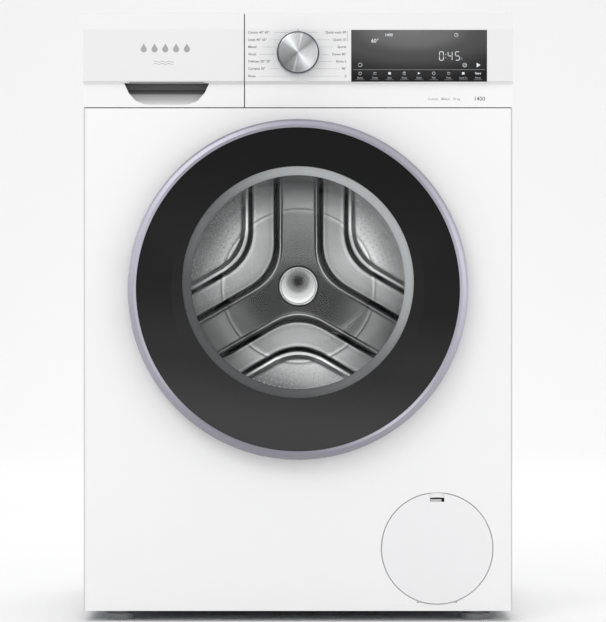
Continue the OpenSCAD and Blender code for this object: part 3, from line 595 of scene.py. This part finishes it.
# outside and inside of the bowl: y, radius, shift in x, shift in z
bowl_outside = ((-300.2, 160.5, 0.0, 0.0), (-299.6, 162.5, 0, 0), (-296.4, 162.5, 0, 0),
                (-296.0, 156.0, 0, 0), (-294.0, 151.0, 0, 0.2), (-285, 149.0, 0, 1.2),
                (-270, 146.0, 0.1, 4.0), (-245, 139.0, 0.4, 8.6), (-220, 132.0, 0.8, 13.2),
                (-198, 125.6, 1.2, 17.4), (-184, 121.0, 1.4, 20.0), (-176, 115.8, 1.5, 21.0),
                (-172, 108.0, 1.5, 21.0), (-170.4, 98.0, 1.5, 21.0), (-170.2, 0.01, 1.5, 21.0))
bowl_inside = ((-174.2, 0.01, 1.5, 21.0), (-174.4, 96.5, 1.5, 21.0), (-176.0, 105.0, 1.5, 21.0),
               (-180.0, 111.4, 1.5, 20.6), (-187, 117.0, 1.4, 19.6), (-198, 121.2, 1.2, 17.4),
               (-220, 127.8, 0.8, 13.2), (-245, 134.8, 0.4, 8.6), (-270, 141.8, 0.1, 4.0),
               (-285, 144.8, 0, 1.2), (-294, 146.4, 0, 0.2), (-299.0, 147.6, 0, 0),
               (-300.4, 150.0, 0, 0))
rings = [[(dx + r * math.cos(2 * math.pi * j / BOWL_SEG), y,
           WIN_Z + dz + r * math.sin(2 * math.pi * j / BOWL_SEG)) for j in range(BOWL_SEG)] for y,
           r, dx, dz in bowl_outside + bowl_inside]
verts, faces = loft(rings, close_loop=True)
sharpen(piece("glass_bowl_smooth", verts, faces, "bowl_glass", "door", "bowl_glass"), 50)
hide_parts("glass_bowl")
verts, faces = lathe([(159.9, -313.2), (159.9, -312.2), (156.8, -312.2), (156.8, -301.0),
                      (150.2, -301.0), (148.6, -301.6), (148.0, -302.8), (148.8, -304.2),
                      (154, -308.0)], 0, WIN_Z, 200)
sharpen(piece("window_rim", verts, faces, "bowl_rim", "door", "bowl_glass"), 50)

# thin dark band round the ring's outer edge, painted shadow of the gap there, open at the hinge
SHADE_RING_END, SHADE_RING_STEPS = 161, 200
shade_ring_profile = ((234.6, -303.4), (235.9, -301), (235.95, -296), (234.2, -296))
rings = []
for i in range(SHADE_RING_STEPS + 1):
    a = math.radians(-SHADE_RING_END + 2 * SHADE_RING_END * i / SHADE_RING_STEPS)
    rings.append([(q * math.cos(a), y, DOOR_Z + q * math.sin(a)) for q, y in shade_ring_profile])
verts, faces = loft(rings, caps=True)
piece("ring_outline", verts, faces, "ring_gap_shade", "door", "ring_silver", smooth=False)

# ---------------------------------------------------------------- gasket
prof = [(154, -263), (153.4, -261.6), (154.2, -260.2), (163, -256.6), (172, -252.6), (176, -250.6),
        (183, -246.4), (189.4, -241.6), (190.4, -238), (189, -233), (184, -226.6), (180.6, -222),
        (180.4, -206), (184, -206), (184.2, -222), (188, -228), (193.4, -234), (194, -239),
        (192, -243.6), (186, -249), (186.2, -258), (186, -265), (184.4, -266.2), (179.4, -266),
        (178.6, -264), (178.6, -257.6), (172.6, -257.4), (163, -260.8)]
verts, faces = lathe(prof, 0, DRUM_Z, 160)
ob = piece("gasket_bellows", verts, faces, "grey_rubber", None, "grey_rubber")
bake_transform(ob)
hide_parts("door_gasket")


def stretch(name, node, material, start, end, slot):
    """Copy of a CAD node with its own material, in its place, between cabinet and sprung tub."""
    ob = bpy.data.objects.new(name, NODES[node].data.copy())
    scene.collection.objects.link(ob)
    ob.data.materials.clear()
    ob.data.materials.append(M[material])
    bpy.context.view_layer.update()
    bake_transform(ob)
    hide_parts(node)


lo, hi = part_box("fill_hose")
stretch("fill_hose_soft", "fill_hose", "black_rubber", (0, 0, hi[2] - 0.02), (0, 0, lo[2] + 0.02),
        "black_rubber")
lo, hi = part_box("sump_hose")
stretch("sump_hose_soft", "sump_hose", "black_rubber", (hi[0], 0, lo[2] + 0.01),
        (lo[0] + 0.03, 0, hi[2] - 0.01), "black_rubber")
lo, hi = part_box("tub_springs")
stretch("tub_springs_soft", "tub_springs", "steel", (0, 0, hi[2] - 0.01), (0, 0, lo[2] + 0.012),
        "steel")

# ---------------------------------------------------------------- drum shell with real perforations
HOLE_R = 2.1
cols, rows_n = 150, 34
y_lo, y_hi = -172.0, 184.0
store = ([], [])


def on_shell(u, y):
    """Point on the drum's shell at angle u and depth y."""
    return (SHELL_R * math.cos(u), y, DRUM_Z + SHELL_R * math.sin(u))


pitch_u, pitch_y = 2 * math.pi / cols, (y_hi - y_lo) / rows_n
for j in range(rows_n):
    for i in range(cols):
        u = (i + 0.5 * (j % 2)) * pitch_u
        yc = y_lo + (j + 0.5) * pitch_y
        deg = math.degrees(u) % 120
        near_lifter = abs((deg - 30 + 60) % 120 - 60) < 8
        hw, hy = pitch_u / 2, pitch_y / 2
        box = [(-hw, -hy), (0, -hy), (hw, -hy), (hw, 0), (hw, hy), (0, hy), (-hw, hy), (-hw, 0)]
        o = [on_shell(u + a, yc + b) for a, b in box]
        if near_lifter or j in (0, rows_n - 1):
            add_mesh(store, o, [tuple(range(8))])
            continue
        h = []
        for k in range(8):
            ang = math.radians(-135 + 45 * k)
            h.append(on_shell(u + HOLE_R * math.cos(ang) / SHELL_R, yc + HOLE_R * math.sin(ang)))
        add_mesh(store, o + h, [(k, (k + 1) % 8, 8 + (k + 1) % 8, 8 + k) for k in range(8)])
piece("drum_wall", *store, "stainless", "drum", "stainless")
verts, faces = lathe([(245.6, y_lo), (SHELL_R, y_lo), (244.4, -176), (241, -181), (236, -182.9),
                      (178, -183.0), (172.4, -181.6), (169.4, -178), (169.4, -174.6),
                      (171.2, -172.6), (173.6, -173.2), (174, -176), (171.4, -178.4), (174, -181.2),
                      (178, -182), (236, -182.2), (243.4, -180.6)], 0, DRUM_Z, 180)
piece("drum_mouth", verts, faces, "stainless", "drum", "stainless")


# rear wall: three pressed arms, each with a lower band beside it, and two faint ring beads
def smooth_min(a, b, k):
    """The lesser of a and b, rounded where they meet."""
    h = max(k - abs(a - b), 0.0) / k
    return min(a, b) - h * h * k / 4


def step(t, a, b):
    """Smooth rise from 0 at a to 1 at b."""
    v = min(1.0, max(0.0, (t - a) / (b - a)))
    return v * v * (3 - 2 * v)


ARMS = [(math.cos(math.radians(a)), math.sin(math.radians(a))) for a in (90, 210, 330)]


def arm_distance(x, z):
    """Distance from the middle line of the nearest arm."""
    r = math.hypot(x, z)
    d = []
    for ax, az in ARMS:
        along = x * ax + z * az
        d.append(abs(x * az - z * ax) if along > 0 else r)
    d.sort()
    return smooth_min(d[0], d[1], 40.0)


def relief(x, z):
    """How far the pressed wall stands forward of its flat."""
    r = math.hypot(x, z)
    t = arm_distance(x, z)
    fade = 1 - step(r, 190, 226)
    h = 7.2 * (1 - step(t, 28, 39)) + 4.0 * (1 - step(t, 70, 80))
    h += 1.0 * math.exp(-((t - 28) / 2.8) ** 2) + 1.4 * math.exp(-((t - 81) / 3.2) ** 2)
    h -= 0.8 * math.exp(-((t - 36) / 2.0) ** 2) + 0.8 * math.exp(-((t - 75) / 2.2) ** 2)
    h *= fade
    h += 0.1 * math.exp(-((r - 117) / 1.8) ** 2) + 0.7 * math.exp(-((r - 232) / 3.0) ** 2)
    return min(h, 12.4)


def band(t, spots):
    """Value at t along straight pieces between (place, value) spots."""
    for (a, u), (b, v) in zip(spots, spots[1:]):
        if t <= b:
            return u + (v - u) * max(0.0, (t - a) / (b - a))
    return spots[-1][1]


def painted_steel_shading(x, z):
    """Painted light and shade on the pressed steel: arms darker, ridges lighter."""
    r = math.hypot(x, z)
    t = arm_distance(x, z)
    arm = 0.07 + 0.4 * step(r, 60, 140) + (0.2 - 0.1 * step(r, 60, 140)) * step(z, 10, 60)
    outer = 0.75 + 0.3 * step(x, -40, 60)
    spots = ((0, arm), (23, arm), (26, 0.55), (28, 1.0), (31.5, 0.95), (33.5, 0.12), (37.5, 0.16),
             (39.5, 0.7), (41.5, 0.5),
             (48, 0.62), (64, 0.72), (67, 0.95), (69.5, 0.9), (72, 0.12), (75.5, 0.25),
             (78.5, 0.95), (84, 1.0), (87, outer),
             (110, outer))
    v = band(t, spots)
    v *= 0.92 + 0.08 * math.cos(3 * math.atan2(z, x) - math.pi / 2)
    v *= 1 + 0.14 * step(x - 0.4 * z, -60, 160)
    return min(1.0, (0.6 + 0.32 * step(r, 110, 120)) * v)


REAR_TURN = 480
radii = [26 + 1.4 * i for i in range(157)]
rings = []
for r in radii:
    ring = []
    for j in range(REAR_TURN):
        a = 2 * math.pi * j / REAR_TURN
        x, z = r * math.cos(a), r * math.sin(a)
        ring.append((x, REAR_Y - relief(x, z), DRUM_Z + z))
    rings.append(ring)
verts, faces = loft(rings)
ob = piece("drum_rear_pressed", verts, faces, "pressed_steel", "drum", "stainless")
# painted light and shade of the rear wall, stored per point
values = ob.data.attributes.new("painted_steel_shading", "FLOAT", "POINT").data
for i, (x, y, z) in enumerate(verts):
    values[i].value = painted_steel_shading(x, z - DRUM_Z)
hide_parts("drum_rear")
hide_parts("drum_shell")
# perforation marks between the arms: raised dots, not real holes
DOT_R, DOT_PITCH, DOT_ROW, DOTS_FROM, DOTS_TO = 0.95, 8.2, 7.1, 122.0, 236
holes = ([], [])
r = DOTS_FROM
while r < DOTS_TO:
    n = int(2 * math.pi * r / DOT_PITCH)
    for i in range(n):
        a = 2 * math.pi * (i + 0.5 * (int(r) % 2)) / n
        x, z = r * math.cos(a), r * math.sin(a)
        if arm_distance(x, z) > 90:
            y = REAR_Y - relief(x, z)
            pts = [(x + DOT_R * math.cos(k * math.pi / 4),
                    z + DOT_R * math.sin(k * math.pi / 4)) for k in range(8)]
            v = [(px, y - 0.12, DRUM_Z + pz) for px, pz in pts] + [(px, y + 0.3,
                                                                    DRUM_Z + pz) for px, pz in pts]
            f = [tuple(range(8)), tuple(range(15, 7, -1))] + [(k, (k + 1) % 8, 8 + (k + 1) % 8,
                                                               8 + k) for k in range(8)]
            add_mesh(holes, v, f)
    r += DOT_ROW
piece("drum_rear_holes", *holes, "hole", "drum", "stainless", smooth=False)
verts, faces = lathe([(0.01, 168.5), (8, 168.45), (16, 168.25), (22, 168.0), (26.6, 167.7)], 0,
                     DRUM_Z, 96, False)
# the hub dish's colour is a painted reflection
piece("hub_dish", verts, faces, "hub_painted_reflection", "drum", "chrome")
verts, faces = lathe([(26.2, 168.2), (26.4, 166.9), (29.2, 166.85), (29.6, 167.4), (29.6, 177.0),
                      (26, 177.0)], 0, DRUM_Z, 96)
piece("hub_rim", verts, faces, "hub_edge", "drum", "chrome")
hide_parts("hub_cap")
verts, faces = lathe([(29.7, 177.2), (29.7, 174.6), (31.2, 174.2), (32.0, 175.0), (32.0, 177.2)], 0,
                     DRUM_Z, 96)
piece("hub_seal", verts, faces, "dark_plastic", "drum", "stainless")

# lifters: rounded hollow paddles along the drum
LIFTER_HALF, LIFTER_WIDE, LIFTER_HIGH = 148, 30, 36
for k, a in enumerate((30, 150, 270)):
    rings = []
    for i in range(41):
        y = -LIFTER_HALF + 2 * LIFTER_HALF * i / 40
        e = min(1.0, (LIFTER_HALF - abs(y)) / 26) if abs(y) < LIFTER_HALF else 0.0
        e = math.sin(e * math.pi / 2) ** 0.6 if e > 0 else 0.02
        ring = []
        for j in range(25):
            v = -1 + 2 * j / 24
            w = LIFTER_WIDE * (0.9 + 0.1 * e)
            top = LIFTER_HIGH * e * (1 - abs(v) ** 2.2) ** 1.2
            rad = 243.6 - top - 1.5 * abs(v) ** 8
            ring.append((rad, y, v * w))
        rings.append(ring)
    ca, sa = math.cos(math.radians(a)), math.sin(math.radians(a))
    rings = [[(x * ca - z * sa, y, DRUM_Z + x * sa + z * ca) for x, y, z in ring] for ring in rings]
    verts, faces = loft(rings, closed_ring=False)
    piece(f"drum_paddle_{k + 1}", verts, faces, "inner_plastic", "drum", "white_plastic")
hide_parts("drum_lifters")

# ---------------------------------------------------------------- rear screws
# each step of a screw's head: from radius, to radius, from y, to y
SCREW = ((4.6, 4.0, 309.1, 311.4), (4.0, 2.4, 311.4, 312.2), (2.4, 2.2, 312.2, 311.2),
         (2.2, 0.01, 311.2, 311.2))
screws = ([], [])
for x in (-166, 166):
    for z in (224, 460, 696):
        for r0, r1, y0, y1 in SCREW:
            v, f = lathe([(r0, y0), (r1, y1)], x, z, 24, False)
            add_mesh(screws, v, f)
piece("rear_cover_screws", *screws, "steel", "cabinet", "steel")

# ---------------------------------------------------------------- stage, light, camera, in metres
FLOOR_HALF, FLAT_TO, CURVE, WALL_TOP, FLOOR_DROP = 14.0, 3.8, 4.2, 9.0, 0.0004
verts = []
prof = [(-FLOOR_HALF, 0.0)]
for i in range(33):
    a = math.pi / 2 * i / 32
    prof.append((FLAT_TO + CURVE * math.sin(a), CURVE - CURVE * math.cos(a)))
prof.append((FLAT_TO + CURVE, WALL_TOP))
for x in (-FLOOR_HALF, FLOOR_HALF):
    verts += [(x, y, z - FLOOR_DROP) for y, z in prof]
n = len(prof)
me = bpy.data.meshes.new("studio_floor")
me.from_pydata(verts, [], [(i, i + 1, n + i + 1, n + i) for i in range(n - 1)])
for p in me.polygons:
    p.use_smooth = True
floor = bpy.data.objects.new("studio_floor", me)
scene.collection.objects.link(floor)
me.materials.append(mat("studio_floor", (0.96, 0.96, 0.96), 0.8, var=0.0, rvar=0.02, scale=3,
                        sockets={"Specular IOR Level": 0.2}))

world = bpy.data.worlds.new("studio")
scene.world = world
world.use_nodes = True
world.node_tree.nodes["Background"].inputs["Color"].default_value = (1, 1, 1, 1)
world.node_tree.nodes["Background"].inputs["Strength"].default_value = 0.73


def area(name, loc, target, size, power):
    """A square soft light of a size in metres and a power in watts."""
    li = bpy.data.lights.new(name, "AREA")
    li.energy = power
    li.size = size
    ob = bpy.data.objects.new(name, li)
    ob.location = loc
    ob.rotation_euler = (Vector(target) - Vector(loc)).to_track_quat("-Z", "Y").to_euler()
    scene.collection.objects.link(ob)


area("key_light", (-1.6, -3.2, 2.6), (0, 0, 0.5), 1.6, 24)
area("fill_light", (2.2, -2.6, 1.4), (0, 0, 0.4), 1.6, 10)
area("front_light", (0.0, -6.4, 2.7), (0, 0, 0.45), 5.0, 56)
area("top_light", (0.0, 1.3, 3.6), (0, 1.6, 0), 3.0, 27)
area("backdrop_light", (0, 3.3, 2.9), (0, 8.0, 1.4), 3.5, 25)
area("rear_light", (0.5, 3.0, 2.4), (0, 0, 0.5), 1.5, 12)

LENS, DISTANCE, CAMERA_X, CAMERA_Z = 186.85, 4.5, 0.007, 0.432
cam = bpy.data.cameras.new("camera")
cam.lens = LENS
cam.sensor_width = 36
cam.clip_end = 100
camera = bpy.data.objects.new("camera", cam)
camera.location = (CAMERA_X, FRONT * MM - DISTANCE, CAMERA_Z)
camera.rotation_euler = (math.pi / 2, 0, 0)
scene.collection.objects.link(camera)
scene.camera = camera
scene.view_settings.view_transform = "Standard"
